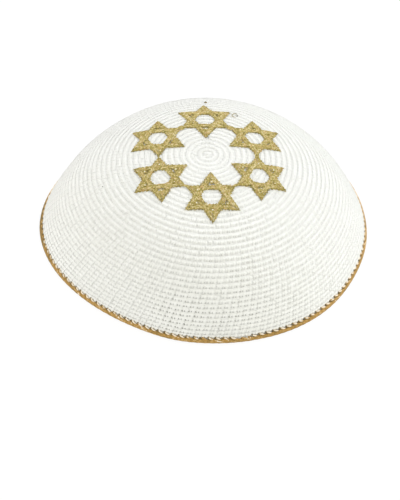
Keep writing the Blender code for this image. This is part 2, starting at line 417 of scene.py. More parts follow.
def sewing_tree(kinds):
    """Sets one of several kinds of stitch on each point of a guide, along its attributes."""
    tree = bpy.data.node_groups.new("sew stitches", "GeometryNodeTree")
    tree.interface.new_socket("Guide", in_out="INPUT", socket_type="NodeSocketGeometry")
    tree.interface.new_socket("Yarn", in_out="INPUT", socket_type="NodeSocketMaterial")
    tree.interface.new_socket("Seed", in_out="INPUT", socket_type="NodeSocketInt")
    tree.interface.new_socket("Unevenness", in_out="INPUT", socket_type="NodeSocketFloat")
    tree.interface.new_socket("Stitches", in_out="OUTPUT", socket_type="NodeSocketGeometry")
    given = add(tree, "NodeGroupInput").outputs

    def guide(name, kind="FLOAT_VECTOR"):
        named = add(tree, "GeometryNodeInputNamedAttribute", {"Name": name}, data_type=kind)
        return named.outputs["Attribute"]

    def chance(low, high, offset):
        seed = add(tree, "ShaderNodeMath", {0: given["Seed"], 1: float(offset)}, operation="ADD").outputs[0]
        drawn = add(tree, "FunctionNodeRandomValue", {"Seed": seed, 2: low, 3: high}, data_type="FLOAT")
        return drawn.outputs[1]

    joined = add(tree, "GeometryNodeJoinGeometry")
    for kind in kinds:
        shown = add(tree, "GeometryNodeObjectInfo", {"Object": kind, "As Instance": True})
        tree.links.new(shown.outputs["Geometry"], joined.inputs[0])
    turned = add(
        tree,
        "FunctionNodeAxesToRotation",
        {"Primary Axis": guide("outward"), "Secondary Axis": guide("around")},
        primary_axis="Z",
        secondary_axis="X",
    )
    leaning = {0: chance(-1.0, 1.0, 1), 1: given["Unevenness"]}
    uneven = add(tree, "ShaderNodeMath", leaning, operation="MULTIPLY")
    skew = add(tree, "ShaderNodeCombineXYZ", {"Z": uneven.outputs[0]})
    turns = {0: turned.outputs[0], 1: skew.outputs[0]}
    rotation = add(tree, "FunctionNodeRotateRotation", turns, rotation_space="LOCAL")
    cell = {0: guide("size"), "Scale": chance(*SIZE_CHANCE, 2)}
    size = add(tree, "ShaderNodeVectorMath", cell, operation="SCALE")
    sewn = add(
        tree,
        "GeometryNodeInstanceOnPoints",
        {
            "Points": given["Guide"],
            "Instance": joined.outputs[0],
            "Pick Instance": True,
            "Instance Index": guide("kind", "INT"),
            "Rotation": rotation.outputs[0],
            "Scale": size.outputs[0],
        },
    )
    tinted = add(
        tree,
        "GeometryNodeStoreNamedAttribute",
        {"Geometry": sewn.outputs[0], "Name": "tint", "Value": chance(0.0, 1.0, 4)},
        data_type="FLOAT",
        domain="INSTANCE",
    )
    real = add(tree, "GeometryNodeRealizeInstances", {"Geometry": tinted.outputs[0]})

    # Every stitch is bent round the cap: its two ends are drawn in towards the middle line of the cap.
    width = {0: guide("size"), "Scale": guide("across", "FLOAT")}
    reach = add(tree, "ShaderNodeVectorMath", width, operation="SCALE")
    sideways = add(tree, "ShaderNodeSeparateXYZ", {"Vector": reach.outputs[0]}).outputs["X"]
    place = add(tree, "GeometryNodeInputPosition").outputs[0]
    flattened = {0: place, 1: (1.0, 1.0, 0.0)}
    level = add(tree, "ShaderNodeVectorMath", flattened, operation="MULTIPLY").outputs[0]
    away = add(tree, "ShaderNodeVectorMath", {0: level, 1: level}, operation="DOT_PRODUCT").outputs["Value"]
    square = add(tree, "ShaderNodeMath", {0: sideways, 1: sideways}, operation="MULTIPLY").outputs[0]
    bend = add(tree, "ShaderNodeMath", {0: square, 1: away}, operation="DIVIDE").outputs[0]
    halved = add(tree, "ShaderNodeMath", {0: bend, 1: -0.5}, operation="MULTIPLY").outputs[0]
    drawn_in = add(tree, "ShaderNodeVectorMath", {0: level, "Scale": halved}, operation="SCALE").outputs[0]
    bent = add(tree, "GeometryNodeSetPosition", {"Geometry": real.outputs[0], "Offset": drawn_in})
    finished = add(tree, "GeometryNodeSetMaterial", {"Geometry": bent.outputs[0], "Material": given["Yarn"]})
    add(tree, "NodeGroupOutput", {0: finished.outputs[0]})
    return tree


def grown(guide, tree, name, **inputs):
    """The plain mesh that a node tree makes from a guide object. The guide is used up."""
    made = guide.modifiers.new(name, "NODES")
    made.node_group = tree
    sockets = [item for item in tree.interface.items_tree if item.in_out == "INPUT"]
    identifiers = {socket.name: socket.identifier for socket in sockets}
    for key, value in inputs.items():
        made[identifiers[key]] = value
    view = bpy.context.evaluated_depsgraph_get()
    mesh = bpy.data.meshes.new_from_object(guide.evaluated_get(view), depsgraph=view)
    mesh.name = name
    mesh.shade_smooth()
    grown_object = bpy.data.objects.new(name, mesh)
    bpy.context.scene.collection.objects.link(grown_object)
    bpy.data.objects.remove(guide, do_unlink=True)
    return grown_object


def fit_out(piece, slot, *nodes):
    """The piece rides on the cap and stands for nodes of the frame, which are hidden. Its slot is not used.
    """
    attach(piece, "root")
    if nodes:
        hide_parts(*nodes)


stitch_kinds = [one_stitch(number, thinner) for number, thinner in enumerate(STITCH_KINDS)]
sew = sewing_tree(stitch_kinds)
stitch_chance = np.random.default_rng(3)
for band, (first_round, last_round) in enumerate(BANDS):
    cells = [np.array(round_cells(number)) for number in range(first_round, last_round + 1)]
    share, turn, width, height = np.concatenate(cells, axis=1)
    down, around, outward = face_axes(share, turn)
    size = np.stack([width, height, relief_left(share, turn)], axis=-1)
    kind = kinds_of_stitch(share, turn, stitch_chance)
    pulled = stitch_chance.normal(0.0, PULLED, (2, len(share)))
    places = face(share, turn) + down * pulled[0][:, None] * PULLED_DOWN + around * pulled[1][:, None]
    guide = new_mesh(f"stitch_guide_{band}", places, outward=outward, around=around, size=size, kind=kind)
    name = f"crochet_rounds_{first_round}_to_{last_round}"
    rounds = grown(guide, sew, name, Yarn=white_cotton, Seed=band, Unevenness=LEANING)
    fit_out(rounds, "white_cotton", "crown")
for kind in stitch_kinds:
    bpy.data.objects.remove(kind, do_unlink=True)


# The inside of the cap
# The back of the same crochet: low ridges round the hollow, one for each round, crossed by bumps of yarn.
# The side that lies under the stitches is in their shade, painted into it as grey, and shows only at the
# bottom of the pits.
PIT_DEPTH = 0.00007          # of the pits' floor under the outer face, where the stitches stand out most
LEAST_PIT = 0.08             # of that depth, where they are worn flat
CENTRE_PIT = 0.25            # and at the cap's centre
INNER_DEPTH = 0.0019         # of the middle of the ridges
RIDGE_HEIGHT = 0.00028
RIDGE_BUMPS = 0.45           # of that height, where the yarn crosses a ridge
SAMPLES_A_ROUND = 4
INSIDE_STEPS = 292
PIT_FIBRES_PER_METRE = 1800.0    # fluff about 0.6 mm across
GAPS_PER_METRE = 260.0       # patches about 4 mm across, where the crochet gapes more or less
PIT_GRAIN = 0.00003


def pit_cotton():
    """The same yarn deep in the cloth, where little light reaches: that shade is painted into its colour as
    grey.
    """
    made, tree, shader, place = new_material("white cotton crochet, wrong side, painted pit shade")
    fibres = add(tree, "ShaderNodeTexNoise", {"Vector": place, "Scale": PIT_FIBRES_PER_METRE, "Detail": 4.0})
    patches = {"Vector": place, "Scale": GAPS_PER_METRE, "Detail": 2.0, "Roughness": 0.6}
    chance = add(tree, "ShaderNodeTexNoise", patches)
    loose = add(tree, "ShaderNodeAttribute", attribute_name="loose")
    gap_shading = {0: chance.outputs["Fac"], 1: 1.7, 2: loose.outputs["Fac"]}
    gap_shade = add(tree, "ShaderNodeMath", gap_shading, operation="MULTIPLY_ADD")
    depth = add(tree, "ShaderNodeMapRange", {0: gap_shade.outputs[0], 1: 0.7, 2: 2.0})
    shade_by_relief = add(tree, "ShaderNodeAttribute", attribute_name="open")
    darkness = {0: depth.outputs[0], 1: shade_by_relief.outputs["Fac"]}
    unlit = add(tree, "ShaderNodeMath", darkness, operation="MULTIPLY")
    # Painted shade: the pits' floor turns grey, more where the crochet gapes, where it is loose and where
    # the stitches stand out most.
    greys = {0: unlit.outputs[0], 6: linear("#F8F8F3"), 7: linear("#A3A297")}
    shade = add(tree, "ShaderNodeMix", greys, data_type="RGBA")
    tree.links.new(shade.outputs[2], shader.inputs["Base Color"])
    shader.inputs["Roughness"].default_value = 0.92
    shader.inputs["Sheen Weight"].default_value = 0.2
    shader.inputs["Specular IOR Level"].default_value = 0.2
    fluff = add(tree, "ShaderNodeBump", {"Height": fibres.outputs["Fac"], "Distance": PIT_GRAIN})
    tree.links.new(fluff.outputs[0], shader.inputs["Normal"])
    return made


def cap_wall():
    """A closed wall: its plain outer side, then its ridged inner side, ring by ring from their centres."""
    steps = ROUNDS * SAMPLES_A_ROUND
    turn = 2 * np.pi * np.arange(INSIDE_STEPS) / INSIDE_STEPS
    share = np.arange(1, steps + 1)[:, None] / steps
    phase = 2 * np.pi * share * ROUNDS
    ridge = np.cos(phase) + RIDGE_BUMPS * np.cos(np.pi * np.arange(INSIDE_STEPS)) * np.sin(phase)
    inner = above(share, turn, -INNER_DEPTH - RIDGE_HEIGHT * ridge * (share < 1.0))
    outer_rings = slice(1, None, 2)
    outer_places = np.broadcast_arrays(share[outer_rings], turn)
    worn = relief_left(*outer_places) / RELIEF
    outer = above(*outer_places, -PIT_DEPTH * np.maximum(worn, LEAST_PIT))
    centre_out = above(0.0, 0.0, -CENTRE_PIT * PIT_DEPTH)
    centre_in = above(0.0, 0.0, -INNER_DEPTH)
    points = [centre_out, *outer.reshape(-1, 3), centre_in, *inner.reshape(-1, 3)]
    # The loose and open attributes set how dark the pits' floor is painted, as the shade of the pits.
    loose, pit_shade_scale = np.zeros((2, len(points)))
    loose[1 : 1 + outer.size // 3] = looseness(*outer_places).ravel()
    pit_shade_scale[1 : 1 + outer.size // 3] = np.clip(worn, 0.0, 1.0).ravel()
    around = [(i, (i + 1) % INSIDE_STEPS) for i in range(INSIDE_STEPS)]
    faces = []
    for start, rings, flip in ((0, len(outer), False), (1 + outer.size // 3, len(inner), True)):
        first = start + 1
        side = [(start, first + i, first + j) for i, j in around]
        for ring in range(rings - 1):
            here = first + ring * INSIDE_STEPS
            there = here + INSIDE_STEPS
            side += [(here + i, there + i, there + j, here + j) for i, j in around]
        faces += [face[::-1] for face in side] if flip else side
    rim_out = 1 + (len(outer) - 1) * INSIDE_STEPS
    rim_in = len(points) - INSIDE_STEPS
    faces += [(rim_out + i, rim_in + i, rim_in + j, rim_out + j) for i, j in around]
    return new_mesh("crochet_wrong_side", points, faces, loose=loose, open=pit_shade_scale)


wall = cap_wall()
wall.data.materials.append(pit_cotton())
fit_out(wall, "white_cotton", "crown")


# The stars
# Six stars of two crossed triangles, embroidered over the crochet in gold metallic thread. Each triangle is
# laid in rows of thread side by side, round and round, and the two are woven over and under each other.
STAR_COUNT = 6
STAR_RING_RADIUS = 0.0254
STAR_RING_TURN = 6.0
STAR_TIP_RADIUS = 0.0144
STAR_PLACES = (
    # how far each star was sewn out of its place: away from the centre in mm, round the ring in degrees, its
    # own turn in degrees, and larger in mm
    (0.0, -0.7, -0.5, 0.0),
    (0.1, -0.3, -1.0, -0.1),
    (-0.1, 0.8, -2.0, -0.3),
    (-0.3, 0.2, -1.8, -0.3),
    (0.1, -0.4, -0.4, -0.4),
    (-0.1, -1.5, 0.0, -0.4),
)
THREAD_ROWS = 6
THREAD_PITCH = 0.00039
THREAD_RADIUS = 0.00023
THREAD_SIDES = 6
FIRST_ROW = 0.9              # of the pitch, from a triangle's edge in to its first row
ROW_ENDS = (0.012, 0.988)    # share of a triangle's side that a row runs over
ROW_POINTS = 30
THREAD_STRAY = 0.00009       # how unevenly the thread lies, over the crown
THREAD_BOUNCE = 0.00007      # and out from it
THREAD_GLINT = 0.25          # and how much its brightness varies
ROW_TINT = 0.70              # brightness of a row, and what its outer and inner rows lose
# The outer and inner rows are painted darker: painted shade along the star's edges.
OUTER_ROW_SHADE = -0.25
INNER_ROW_SHADE = -0.15
STAR_LIFT = 0.00040
WEAVE_LIFT = 0.00007
EYE_RADIUS = 0.0052          # of the row that rounds a star's hexagonal eye
TOOTH_PITCH = 0.0016         # the outermost thread is caught down in each crochet stitch and zigzags
TOOTH_DEPTH = 0.00085
TOOTH_RADIUS = 0.00019
TOOTH_DROP = 0.00014         # how much lower than the rows it lies, and the eye's row
EYE_DROP = 0.00012
CORNER_THREAD = 0.0015
BRIDGE_ROWS = (3, 0, 1, 1, 2, 3)  # on each side of the middle one, from each star to the next
BRIDGE_LENGTH = 0.0015
BRIDGE_TAPER = 0.0001        # how much shorter each further row is
BRIDGE_STRAY = 0.00010
BRIDGE_BOUNCE = 0.00006
SIDE_ON_TOP = (3, 1, 0)      # star, triangle and side that were embroidered last, over all the rest
ON_TOP_LIFT = 0.00018
# painted highlight: the side on top is drawn lighter along its raised crest
ON_TOP_HIGHLIGHT = 0.12
GLINTS_PER_METRE = 1250.0    # glints about 0.8 mm long
HUES_PER_METRE = 700.0       # patches of a redder gold about 1.4 mm long
FOIL_TURN = 0.0006           # length of one turn of the foil strip round its core
FOIL_DEPTH = 0.00004
FOIL_GRAIN = 0.00006


def thread_tree():
    """Lays a round thread along each line of a guide, as thick as its radius attribute says."""
    tree = bpy.data.node_groups.new("lay thread", "GeometryNodeTree")
    tree.interface.new_socket("Guide", in_out="INPUT", socket_type="NodeSocketGeometry")
    tree.interface.new_socket("Thread", in_out="INPUT", socket_type="NodeSocketMaterial")
    tree.interface.new_socket("Sides", in_out="INPUT", socket_type="NodeSocketInt")
    tree.interface.new_socket("Threads", in_out="OUTPUT", socket_type="NodeSocketGeometry")
    given = add(tree, "NodeGroupInput").outputs
    line = add(tree, "GeometryNodeMeshToCurve", {"Mesh": given["Guide"]})
    measured = add(
        tree,
        "GeometryNodeStoreNamedAttribute",
        {
            "Geometry": line.outputs[0],
            "Name": "run",
            "Value": add(tree, "GeometryNodeSplineParameter").outputs["Length"],
        },
        data_type="FLOAT",
        domain="POINT",
    )
    circle = add(tree, "GeometryNodeCurvePrimitiveCircle", {"Resolution": given["Sides"], "Radius": 1.0})
    section = add(
        tree,
        "GeometryNodeStoreNamedAttribute",
        {
            "Geometry": circle.outputs[0],
            "Name": "ring",
            "Value": add(tree, "GeometryNodeInputPosition").outputs[0],
        },
        data_type="FLOAT_VECTOR",
        domain="POINT",
    )
    radius = add(tree, "GeometryNodeInputNamedAttribute", {"Name": "radius"}, data_type="FLOAT")
    swept = add(
        tree,
        "GeometryNodeCurveToMesh",
        {
            "Curve": measured.outputs[0],
            "Profile Curve": section.outputs[0],
            "Scale": radius.outputs[0],
            "Fill Caps": True,
        },
    )
    dressed = {"Geometry": swept.outputs[0], "Material": given["Thread"]}
    finished = add(tree, "GeometryNodeSetMaterial", dressed)
    add(tree, "NodeGroupOutput", {0: finished.outputs[0]})
    return tree


def lines_guide(name, lines, **attributes):
    """A guide object of open or closed lines: each is its points, its radii and whether it closes."""
    starts = np.cumsum([0] + [len(points) for points, _, _ in lines])
    edges = []
    for (points, _, closed), start in zip(lines, starts):
        edges += [(start + i, start + i + 1) for i in range(len(points) - 1)]
        if closed:
            edges.append((start + len(points) - 1, start))
    points = np.concatenate([points for points, _, _ in lines])
    radius = np.concatenate([np.broadcast_to(radius, len(points)) for points, radius, _ in lines])
    return new_mesh(name, points, edges=edges, radius=radius, **attributes)


def ramp(tree, factor, *stops):
    """Colours along a factor: each stop is its place and its hex colour."""
    made = add(tree, "ShaderNodeValToRGB", {"Fac": factor})
    elements = made.color_ramp.elements
    for element in list(elements)[1:]:
        elements.remove(element)
    elements[0].position, elements[0].color = stops[0][0], linear(stops[0][1])
    for place, colour in stops[1:]:
        elements.new(place).color = linear(colour)
    return made.outputs["Color"]


def gold_metallic_thread():
    """Gold metallic embroidery thread: a foil strip wound round a core, which glints unevenly."""
    made, tree, shader, place = new_material("gold metallic embroidery thread")
    fine = {"Vector": place, "Scale": GLINTS_PER_METRE, "Detail": 2.0, "Roughness": 0.5}
    glints = add(tree, "ShaderNodeTexNoise", fine)
    broad = {"Vector": place, "Scale": HUES_PER_METRE, "Detail": 2.0, "W": 3.0}
    hues = add(tree, "ShaderNodeTexNoise", broad, noise_dimensions="4D")
    # The tint read here as worn carries the painted shade of the stars' edge rows and the painted highlight
    # of the side on top.
    worn = add(tree, "ShaderNodeAttribute", attribute_name="tint").outputs["Fac"]
    # Painted glints: the glints noise puts pale and dark specks into the colour.
    bright = {0: worn, 1: 0.4, 2: glints.outputs["Fac"]}
    mixed = add(tree, "ShaderNodeMath", bright, operation="MULTIPLY_ADD")
    shade = ramp(
        tree,
        mixed.outputs[0],
        (0.2, "#45412F"),
        (0.56, "#928538"),
        (0.72, "#B8A758"),
        (0.82, "#CBB975"),
        (1.0, "#ECE0B6"),
    )
    reddish = add(tree, "ShaderNodeMapRange", {0: hues.outputs["Fac"], 1: 0.5, 2: 0.72, 4: 0.6})
    golds = {0: reddish.outputs[0], 6: shade, 7: linear("#D2AA72")}
    hued = add(tree, "ShaderNodeMix", golds, data_type="RGBA")
    tree.links.new(hued.outputs[2], shader.inputs["Base Color"])
    shader.inputs["Roughness"].default_value = 0.55
    shader.inputs["Metallic"].default_value = 0.15
    foil = add(tree, "ShaderNodeBump", {"Height": twist_height(tree, 1, FOIL_TURN), "Distance": FOIL_DEPTH})
    worn_foil = {"Height": glints.outputs["Fac"], "Distance": FOIL_GRAIN, "Normal": foil.outputs[0]}
    grain = add(tree, "ShaderNodeBump", worn_foil)
    tree.links.new(grain.outputs[0], shader.inputs["Normal"])
    return made


def flat_star(number):
    """The six points of a star, laid flat round the crown's centre, and its own centre."""
    away, round_ring, spin, larger = STAR_PLACES[number % STAR_COUNT]
    ring_turn = math.pi / 2 + math.radians(STAR_RING_TURN + round_ring) + 2 * math.pi * number / STAR_COUNT
    centre = (STAR_RING_RADIUS + away / 1000) * np.array([math.cos(ring_turn), math.sin(ring_turn)])
    angle = ring_turn + math.radians(spin) + np.radians(60.0 * np.arange(6))
    tips = centre + (STAR_TIP_RADIUS + larger / 1000) * np.stack([np.cos(angle), np.sin(angle)], axis=-1)
    return tips, centre


def on_crown(flat, lift):
    """Points over the crown from points laid flat round its centre."""
    return above(np.hypot(*flat.T) / crown_length, np.arctan2(flat[:, 1], flat[:, 0]), lift)


def inset(corners, distance):
    """The corners of a polygon, anticlockwise, drawn in by a distance from each side."""
    before = unit(corners - np.roll(corners, 1, axis=0))
    after = unit(np.roll(corners, -1, axis=0) - corners)
    sine = before[:, 0] * after[:, 1] - before[:, 1] * after[:, 0]
    return corners + (after - before) * (distance / sine)[:, None]


def triangle_row(corners, row):
    """One row of thread round a triangle: flat points, and how far each is lifted over the other one."""
    drawn_in = inset(corners, (row + FIRST_ROW) * THREAD_PITCH)
    share = np.linspace(*ROW_ENDS, ROW_POINTS)
    ends = np.roll(drawn_in, -1, axis=0)
    flat = np.concatenate([a + (b - a) * share[:, None] for a, b in zip(drawn_in, ends)])
    weave = np.sin(3 * np.pi * (share - 1 / 6)) * np.sin(np.pi * share) ** 2
    return flat, np.tile(STAR_LIFT + WEAVE_LIFT * weave, 3)


def zigzag(line, out, closed_length):
    """A line with teeth: every other point is moved by the vector out, one tooth to a crochet stitch."""
    teeth = 2 * int(round(closed_length / TOOTH_PITCH))
    at = np.arange(teeth) * len(line) / teeth
    index, part = at.astype(int), (at % 1.0)[:, None]
    after = (index + 1) % len(line)
    move = np.where(np.arange(teeth) % 2, 1.0, 0.0)[:, None]
    along = line[index] * (1 - part) + line[after] * part
    return along + (out[index] * (1 - part) + out[after] * part) * move


def star_lines(number, tips, centre, chance):
    """The threads of one star: lines, and how bright each point of them is."""
    lines, tints = [], []

    def lay(flat, lift, tint, closed, thickness=THREAD_RADIUS):
        flat = flat + chance.normal(0.0, THREAD_STRAY, flat.shape)
        lift = lift + chance.normal(0.0, THREAD_BOUNCE, len(flat))
        lines.append((on_crown(flat, lift), thickness, closed))
        tints.append(tint + chance.normal(0.0, THREAD_GLINT, len(flat)))

    for row in range(THREAD_ROWS):
        edge = {0: OUTER_ROW_SHADE, THREAD_ROWS - 1: INNER_ROW_SHADE}.get(row, 0.0)
        for triangle in (0, 1):
            corners = tips[triangle::2]
            flat, lift = triangle_row(corners, row)
            tint = np.full(len(flat), ROW_TINT + edge)
            if (number, triangle) == SIDE_ON_TOP[:2]:
                on_top = slice(ROW_POINTS * SIDE_ON_TOP[2], ROW_POINTS * (SIDE_ON_TOP[2] + 1))
                lift[on_top] += ON_TOP_LIFT
                # Painted highlight: the side on top is lighter along its crest.
                tint[on_top] += ON_TOP_HIGHLIGHT
            lay(flat, lift, tint, True)
            if row == 0:
                away = unit(flat - corners.mean(axis=0)) * TOOTH_DEPTH
                around = np.linalg.norm(corners - np.roll(corners, 1, axis=0), axis=-1).sum()
                toothed = zigzag(flat, away, around)
                # The zigzag outline thread is painted darker too, as shade along the star's edge.
                lay(toothed, np.full(len(toothed), STAR_LIFT - TOOTH_DROP), 0.55, True, TOOTH_RADIUS)
    for triangle in (0, 1):
        # Short threads, bent round the inside of each corner, leave only a speck of the crochet bare.
        drawn_in = inset(tips[triangle::2], (THREAD_ROWS + 0.5) * THREAD_PITCH)
        for corner in range(3):
            before = unit(drawn_in[corner - 1] - drawn_in[corner]) * CORNER_THREAD
            after = unit(drawn_in[(corner + 1) % 3] - drawn_in[corner]) * CORNER_THREAD
            bend = np.array([before, before / 2, 0 * before, after / 2, after])
            lay(drawn_in[corner] + bend, np.full(len(bend), STAR_LIFT), 0.5, False)
    angle = 2 * np.pi * np.arange(48) / 48
    outward = np.stack([np.cos(angle), np.sin(angle)], axis=-1)
    eye = zigzag(centre + EYE_RADIUS * outward, -outward * TOOTH_DEPTH, 2 * np.pi * EYE_RADIUS)
    # The eye's row is painted darker, as shade round the eye.
    lay(eye, np.full(len(eye), STAR_LIFT - EYE_DROP), 0.45, True)
    return lines, np.concatenate(tints)


def bridge_lines(rows, middle, centre, next_centre, chance):
    """Threads that run on from one star into the next where their points meet."""
    along = unit(next_centre - centre)
    across = np.array([-along[1], along[0]])
    lines, tints = [], []
    for row in range(-rows, rows + 1):
        reach = np.linspace(-1.0, 1.0, 5)[:, None] * (BRIDGE_LENGTH - abs(row) * BRIDGE_TAPER)
        flat = middle + along * reach + across * row * THREAD_PITCH
        flat = flat + chance.normal(0.0, BRIDGE_STRAY, (5, 2))
        lift = STAR_LIFT + chance.normal(0.0, BRIDGE_BOUNCE, 5)
        lines.append((on_crown(flat, lift), THREAD_RADIUS, False))
        tints.append(0.6 + chance.normal(0.0, THREAD_GLINT, 5))
    return lines, np.concatenate(tints)


gold_thread = gold_metallic_thread()
lay_thread = thread_tree()
star_chance = np.random.default_rng(5)
star_tips = [flat_star(number)[0] for number in range(STAR_COUNT)]
for number in range(STAR_COUNT):
    # Two neighbours' points meet halfway between the places where each would end.
    after = (number + 1) % STAR_COUNT
    star_tips[number][2] = star_tips[after][4] = (star_tips[number][2] + star_tips[after][4]) / 2
for number, tips in enumerate(star_tips):
    lines, tint = star_lines(number, tips, flat_star(number)[1], star_chance)
    centre, next_centre = flat_star(number)[1], flat_star(number + 1)[1]
    bridge, bridge_tint = bridge_lines(BRIDGE_ROWS[number], tips[2], centre, next_centre, star_chance)
    lines, tint = lines + bridge, np.concatenate([tint, bridge_tint])
    guide = lines_guide(f"star_guide_{number}", lines, tint=tint)
    star = grown(guide, lay_thread, f"star_{number + 1}_threads", Thread=gold_thread, Sides=THREAD_SIDES)
    fit_out(star, "gold_thread", f"star_{number + 1}")

# Each point is closed with a short stitch of gold, and in some a knot of the white crochet comes through.
KNOTTED_POINTS = {0: (3,), 2: (0, 1, 2, 3, 4, 5), 3: (0, 1, 2, 3, 4, 5), 4: (0, 1, 2, 3, 5)}
POINT_CLOSING = 0.56         # share of the way from a star's centre to its point
CLOSING_HALF = 0.0004        # half the length of a closing stitch, and of a knot
CLOSING_STRAY = 0.00015
CLOSING_RADIUS = 0.00085
CLOSING_LIFT = 0.5           # of a thread's lift, and a knot's
KNOT_LIFT = 1.9
KNOT_RADIUS = 0.00036
KNOT_SHAPE = np.array([0.8, 1.0, 0.8])
KNOT_BULK = (0.6, 1.0)
KNOT_SIDES = 8
knot_lines, closing_lines = [], []
for number, tips in enumerate(star_tips):
    centre = flat_star(number)[1]
    for point, tip in enumerate(tips):
        knot = centre + (tip - centre) * POINT_CLOSING + star_chance.normal(0.0, CLOSING_STRAY, 2)
        across = unit(np.array([-(tip - centre)[1], (tip - centre)[0]])) * CLOSING_HALF
        flat = np.array([knot - across, knot, knot + across])
        bulk = star_chance.uniform(*KNOT_BULK)
        lift = STAR_LIFT * np.array([0.8, 1.15, 0.8])
        closing_lines.append((on_crown(flat, lift * CLOSING_LIFT), CLOSING_RADIUS, False))
        if point in KNOTTED_POINTS.get(number, ()):
            knot_lines.append((on_crown(flat, lift * KNOT_LIFT), KNOT_RADIUS * bulk * KNOT_SHAPE, False))
closing_guide = lines_guide("closing_guide", closing_lines, tint=np.full(3 * len(closing_lines), 0.60))
closings = grown(closing_guide, lay_thread, "gold_in_star_points", Thread=gold_thread, Sides=THREAD_SIDES)
fit_out(closings, "gold_thread")
knot_guide = lines_guide("knot_guide", knot_lines, tint=np.full(3 * len(knot_lines), 0.9))
knots = grown(knot_guide, lay_thread, "crochet_in_star_points", Thread=white_cotton, Sides=KNOT_SIDES)
fit_out(knots, "white_cotton")


# Loose ends
# The tail of the gold thread, knotted off behind the back star, a short loop of pale thread that has worked
# out beside it, and one dark fibre caught on the left.
LOOSE_ENDS = (
    # share of the way to the rim, direction in degrees, brightness, then across, down, out and radius in mm
    (0.4371, 93.5, -0.35, ((-0.55, 0.05, 0.20, 0.22), (0.0, -0.25, 0.60, 0.36), (0.6, 0.10, 0.25, 0.26))),
    (
        0.3344,
        70.0,
        0.20,
        (
            (-0.95, -1.50, 0.10, 0.10),
            (-0.30, -2.10, 0.26, 0.12),
            (0.70, -1.70, 0.30, 0.13),
            (1.15, -0.30, 0.28, 0.13),
            (0.85, 1.20, 0.28, 0.12),
            (-0.10, 1.90, 0.26, 0.12),
            (-0.80, 1.40, 0.10, 0.10),
        ),
    ),
    (0.3344, 70.0, -0.50, ((-1.15, -0.4, 0.10, 0.14), (-1.40, 0.0, 0.36, 0.26), (-1.60, 0.4, 0.10, 0.14))),
    (0.4998, -161.1, -0.80, ((-0.20, 0.00, 0.22, 0.10), (0.0, 0.05, 0.40, 0.15), (0.20, 0.00, 0.22, 0.10))),
)
loose_lines, loose_tints = [], []
for share, turn, brightness, path in LOOSE_ENDS:
    path = np.array(path)
    down, around, outward = face_axes(share, math.radians(turn))
    start = face(share, math.radians(turn))
    points = start + (path[:, :1] * around + path[:, 1:2] * down + path[:, 2:3] * outward) / 1000
    loose_lines.append((points, path[:, 3] / 1000, False))
    loose_tints.append(np.full(len(path), brightness))
loose_guide = lines_guide("loose_guide", loose_lines, tint=np.concatenate(loose_tints))
loose_ends = grown(loose_guide, lay_thread, "loose_thread_ends", Thread=gold_thread, Sides=THREAD_SIDES)
fit_out(loose_ends, "gold_thread")


# The edging
# A gold-brown yarn overcast round the rim. Each stitch comes out of the crochet one round up, slants down to
# the right, lies along the edge with its neighbours and goes round under it to the inside.
EDGE_STITCHES = 146
EDGE_START = 0.51            # of a stitch, so that the yarn comes out of the crochet's own holes
EDGE_STRAY = 0.04            # of a stitch, by which a stroke lies out of its place
EDGE_UNEVEN = 0.02           # of its height, by which its upper part is longer or shorter
EDGE_UPPER = 1.5             # mm; height from which that holds
EDGE_GLINT = 0.08            # how much the strokes differ in brightness
EDGE_SIDES = 8
# The brightness along each stroke is painted shade: darkest where it goes into the crochet, as the shade of
# its hole, and lower along the rim's underside. The filling is painted lower along the underside too.
STROKE = (
    # along in stitches, height in mm, depth in from the outer face in mm, radius in mm, brightness
    (-0.04, 3.05, 0.50, 0.24, -0.25),
    (0.00, 3.15, 0.00, 0.30, -0.25),
    (0.10, 2.80, -0.22, 0.30, -0.05),
    (0.28, 2.35, -0.30, 0.34, 0.20),
    (0.60, 1.98, -0.40, 0.42, 0.38),
    (1.05, 1.62, -0.46, 0.46, 0.40),
    (1.50, 1.25, -0.48, 0.48, 0.40),
    (2.00, 0.88, -0.46, 0.48, 0.34),
    (2.60, 0.56, -0.36, 0.46, 0.22),
    (3.20, 0.48, -0.20, 0.46, 0.15),
    (3.45, 0.48, 0.60, 0.44, 0.10),
    (3.65, 0.48, 2.00, 0.42, 0.30),
    (3.75, 1.10, 2.68, 0.42, 0.45),
    (3.85, 2.20, 2.72, 0.38, 0.50),
    (3.90, 2.90, 2.50, 0.32, 0.45),
    (3.92, 3.20, 1.80, 0.26, 0.20),
)
HIGHLIGHT_STROKE = (
    # the paler ply on the upper side of each stroke, its cream colour a painted highlight
    (0.14, 3.05, 0.20, 0.18, 0.60),
    (0.24, 3.06, -0.24, 0.32, 0.78),
    (0.42, 2.88, -0.38, 0.36, 0.84),
    (0.60, 2.62, -0.40, 0.32, 0.76),
    (0.74, 2.40, -0.30, 0.20, 0.75),
    (0.84, 2.28, -0.05, 0.14, 0.50),
)
FILLING = (
    # the same yarn's second pass, lower down and half a stitch on
    (0.05, 2.05, 0.30, 0.30, 0.35),
    (0.15, 2.10, -0.14, 0.38, 0.38),
    (0.55, 1.88, -0.38, 0.46, 0.40),
    (1.10, 1.45, -0.46, 0.48, 0.40),
    (1.65, 0.98, -0.46, 0.48, 0.36),
    (2.20, 0.60, -0.36, 0.46, 0.24),
    (2.80, 0.48, -0.20, 0.44, 0.15),
    (3.05, 0.48, 0.70, 0.42, 0.10),
    (3.25, 0.50, 2.05, 0.42, 0.30),
    (3.40, 1.10, 2.66, 0.40, 0.45),
    (3.50, 2.05, 2.60, 0.34, 0.40),
)
EDGE_REACH = (
    # direction in degrees, how much further out the edging lies there, in mm
    (-200.0, -0.50),
    (-185.0, -0.35),
    (-170.0, 0.05),
    (-140.0, 0.10),
    (-100.0, 0.30),
    (-60.0, 0.30),
    (-40.0, 0.15),
    (-25.0, -0.15),
    (-8.0, -0.10),
    (8.0, -0.45),
    (90.0, -0.50),
)
